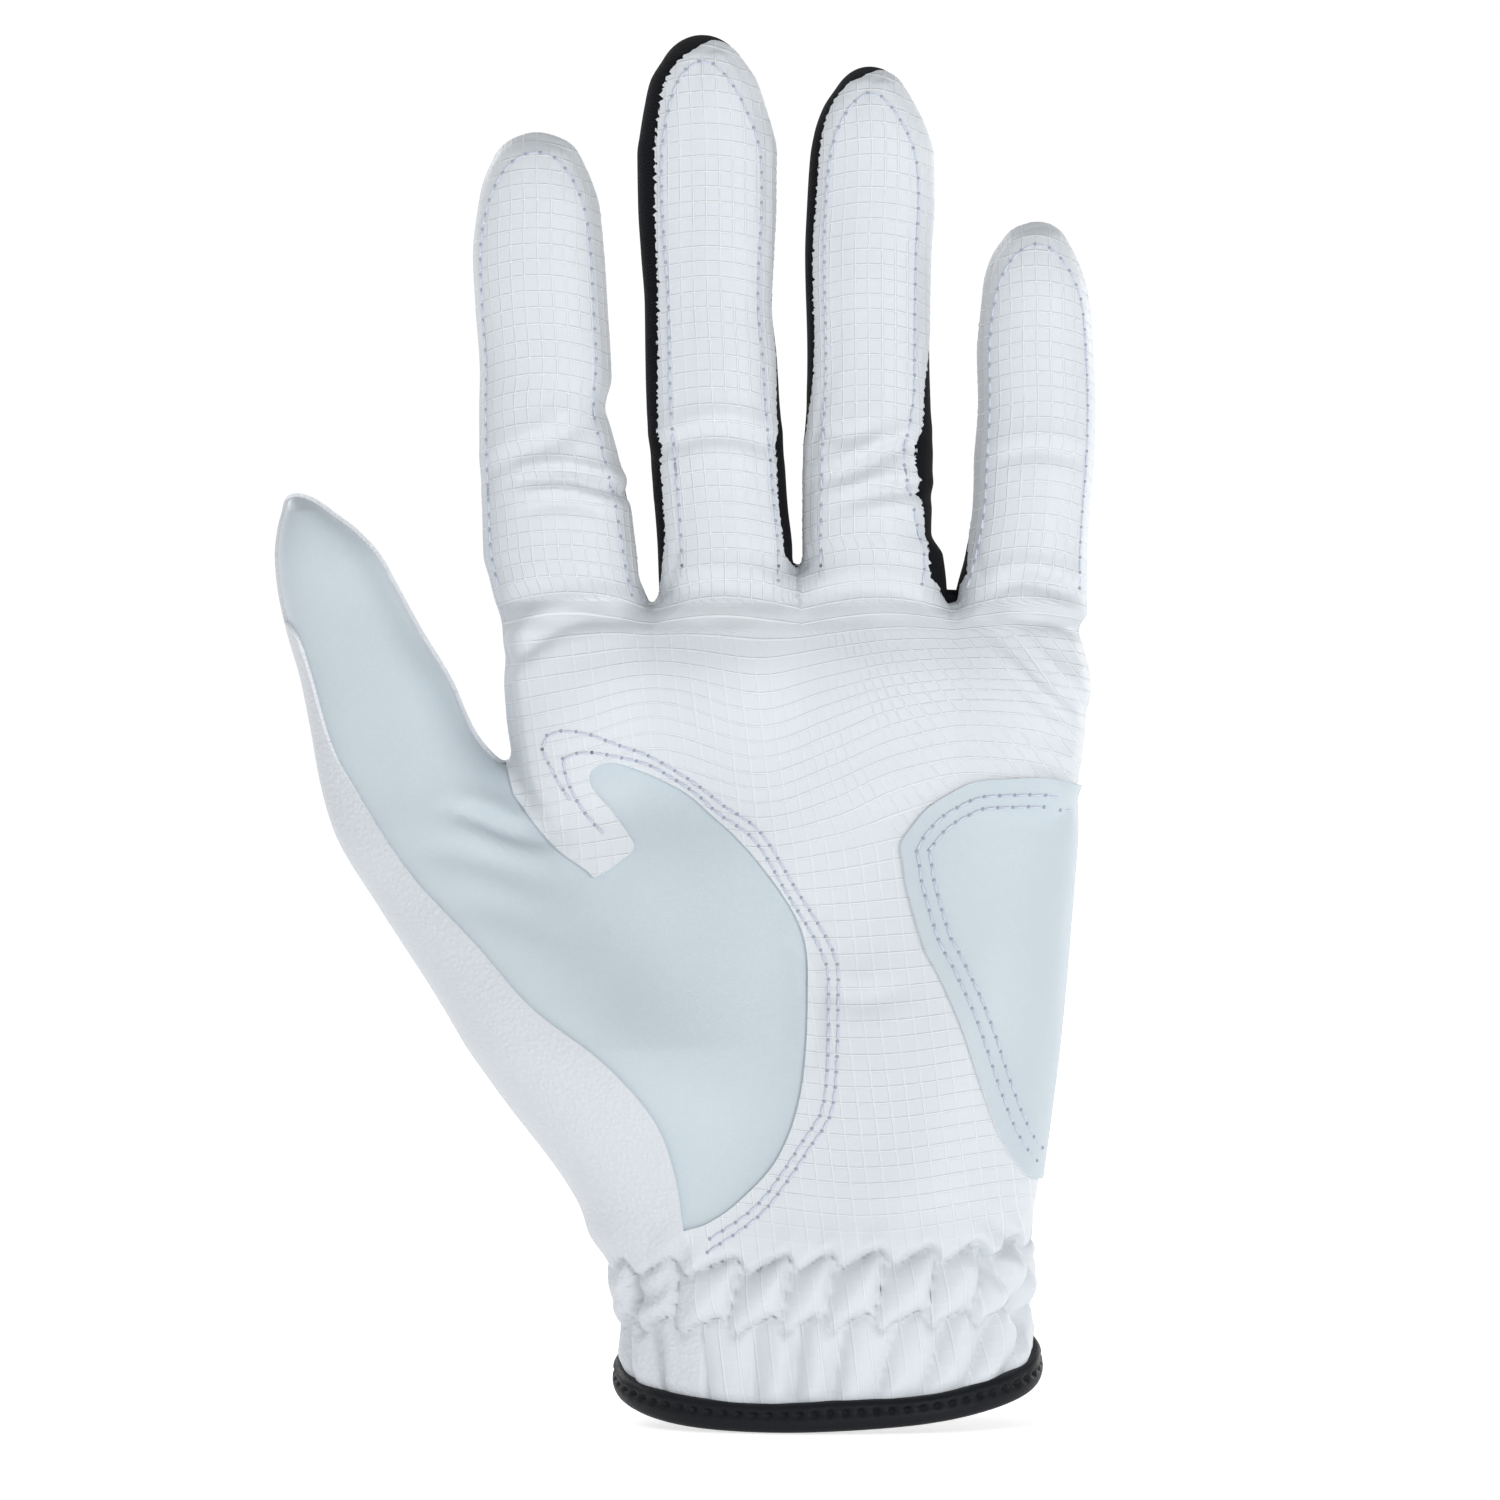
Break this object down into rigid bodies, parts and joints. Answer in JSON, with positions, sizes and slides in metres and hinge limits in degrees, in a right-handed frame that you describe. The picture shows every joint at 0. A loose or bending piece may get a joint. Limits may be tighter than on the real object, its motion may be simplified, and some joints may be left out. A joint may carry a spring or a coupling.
{
  "type": "golf glove",
  "caption": "Left-hand golf glove with embossed palm, fourchettes between flexing fingers, ruched bound cuff and a hook-and-loop closure tab.",
  "frame": {"origin": "centre of the wrist opening, level with the lowest point of the hem", "axes": "+Z from the wrist to the fingertips, -Y the way the palm faces, -X towards the thumb"},
  "size_m": [0.1313, 0.0452, 0.2218],
  "materials": {
    "grid_leather": "white synthetic leather with a raised grid, soft sheen",
    "smooth_leather": "pale blue-grey smooth leather, soft sheen",
    "pebble_leather": "white pebbled synthetic leather, matt",
    "white_stretch": "white stretch fabric",
    "elastic": "white elastic tape",
    "black_binding": "black folded binding, soft sheen",
    "black_stretch": "black stretch knit",
    "loop_tape": "black loop fastener",
    "hook_tape": "black hook fastener"
  },
  "bodies": {
    "hand": {"palm_panel": "grid_leather", "thumb_leather_base": "smooth_leather", "thumb_side_panel": "pebble_leather", "thumb_crotch_tab": "grid_leather", "heel_patch": "smooth_leather", "back_panel": "pebble_leather", "knuckle_stretch_insert": "white_stretch", "back_knuckle_panel": "pebble_leather", "cuff_binding": "black_binding", "wrist_elastic_upper": "elastic", "wrist_elastic_lower": "elastic", "slit_binding": "black_binding", "slit_gusset": "black_stretch", "loop_patch": "loop_tape", "tab_sewn_end": "pebble_leather", "web_gusset_index_middle": "black_stretch", "web_gusset_middle_ring": "black_stretch", "web_gusset_ring_little": "black_stretch"},
    "index_lower": {"index_palm_face_lower": "grid_leather", "index_back_lower": "pebble_leather", "index_fourchette_lower": "black_stretch"},
    "index_upper": {"index_palm_face_upper": "grid_leather", "index_back_upper": "pebble_leather", "index_fourchette_upper": "black_stretch"},
    "middle_lower": {"middle_palm_face_lower": "grid_leather", "middle_back_lower": "pebble_leather", "middle_fourchette_thumb_side_lower": "black_stretch", "middle_fourchette_little_side_lower": "black_stretch"},
    "middle_upper": {"middle_palm_face_upper": "grid_leather", "middle_back_upper": "pebble_leather", "middle_fourchette_thumb_side_upper": "black_stretch", "middle_fourchette_little_side_upper": "black_stretch"},
    "ring_lower": {"ring_palm_face_lower": "grid_leather", "ring_back_lower": "pebble_leather", "ring_fourchette_thumb_side_lower": "black_stretch", "ring_fourchette_little_side_lower": "black_stretch"},
    "ring_upper": {"ring_palm_face_upper": "grid_leather", "ring_back_upper": "pebble_leather", "ring_fourchette_thumb_side_upper": "black_stretch", "ring_fourchette_little_side_upper": "black_stretch"},
    "little_lower": {"little_palm_face_lower": "grid_leather", "little_back_lower": "pebble_leather", "little_fourchette_lower": "black_stretch"},
    "little_upper": {"little_palm_face_upper": "grid_leather", "little_back_upper": "pebble_leather", "little_fourchette_upper": "black_stretch"},
    "thumb_lower": {"thumb_leather_lower": "smooth_leather", "thumb_back_lower": "pebble_leather"},
    "thumb_upper": {"thumb_leather_upper": "smooth_leather", "thumb_back_upper": "pebble_leather"},
    "closure_flap": {"closure_tab": "pebble_leather", "hook_patch": "hook_tape"}
  },
  "joints": [
    {"name": "index_base_knuckle", "type": "hinge", "parent": "hand", "child": "index_lower", "pos_m": [-0.0432, -0.003, 0.1375], "axis": [0.999, 0, 0.0452], "range_deg": [0, 60]},
    {"name": "index_middle_knuckle", "type": "hinge", "parent": "index_lower", "child": "index_upper", "pos_m": [-0.04413, -0.003, 0.15798], "axis": [0.999, 0, 0.0452], "range_deg": [0, 75]},
    {"name": "middle_base_knuckle", "type": "hinge", "parent": "hand", "child": "middle_lower", "pos_m": [-0.0169, -0.003, 0.1415], "axis": [0.9991, 0, 0.0422], "range_deg": [0, 60]},
    {"name": "middle_middle_knuckle", "type": "hinge", "parent": "middle_lower", "child": "middle_upper", "pos_m": [-0.01777, -0.003, 0.16198], "axis": [0.9991, 0, 0.0422], "range_deg": [0, 75]},
    {"name": "ring_base_knuckle", "type": "hinge", "parent": "hand", "child": "ring_lower", "pos_m": [0.0063, -0.003, 0.1415], "axis": [1, 0, -0.0013], "range_deg": [0, 60]},
    {"name": "ring_middle_knuckle", "type": "hinge", "parent": "ring_lower", "child": "ring_upper", "pos_m": [0.00633, -0.003, 0.161], "axis": [1, 0, -0.0013], "range_deg": [0, 75]},
    {"name": "little_base_knuckle", "type": "hinge", "parent": "hand", "child": "little_lower", "pos_m": [0.0314, -0.003, 0.1375], "axis": [0.9994, 0, -0.0332], "range_deg": [0, 60]},
    {"name": "little_middle_knuckle", "type": "hinge", "parent": "little_lower", "child": "little_upper", "pos_m": [0.03198, -0.003, 0.15499], "axis": [0.9994, 0, -0.0332], "range_deg": [0, 75]},
    {"name": "thumb_base_knuckle", "type": "hinge", "parent": "hand", "child": "thumb_lower", "pos_m": [-0.0665, -0.003, 0.1021], "axis": [0.9255, 0, 0.3786], "range_deg": [0, 45]},
    {"name": "thumb_middle_knuckle", "type": "hinge", "parent": "thumb_lower", "child": "thumb_upper", "pos_m": [-0.07445, -0.003, 0.12154], "axis": [0.9255, 0, 0.3786], "range_deg": [0, 65]},
    {"name": "tab_hinge", "type": "hinge", "parent": "hand", "child": "closure_flap", "pos_m": [-0.008, 0.02198, 0.03439], "axis": [0, -0.0995, 0.995], "range_deg": [0, 150]}
  ]
}
